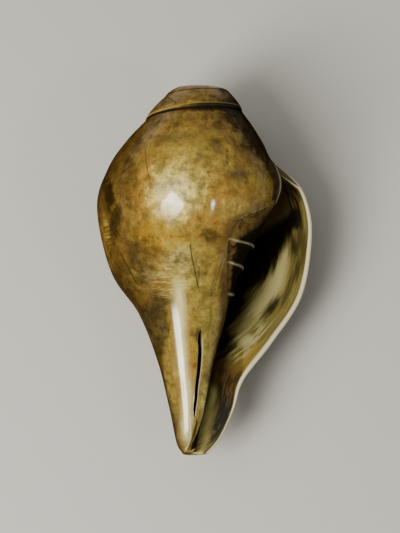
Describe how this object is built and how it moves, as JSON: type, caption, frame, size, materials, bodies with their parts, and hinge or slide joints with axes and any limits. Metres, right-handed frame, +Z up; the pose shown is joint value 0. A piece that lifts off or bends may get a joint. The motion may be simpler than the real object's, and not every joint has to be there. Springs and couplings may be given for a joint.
{
  "type": "conch shell horn",
  "caption": "Heavy polished spiral sea shell, ground open at the spire tip so that it can be blown as a horn.",
  "frame": {"origin": "centre of the bounding box's base, on the surface that the shell lies on", "axes": "+Z up; +Y along the shell from the canal tip towards the spire, level; +X towards the lip, with the opening facing up"},
  "size_m": [0.0892, 0.1492, 0.0813],
  "materials": {
    "shell": "polished"
  },
  "bodies": {
    "root": {"conch_shell": "shell"}
  },
  "joints": []
}
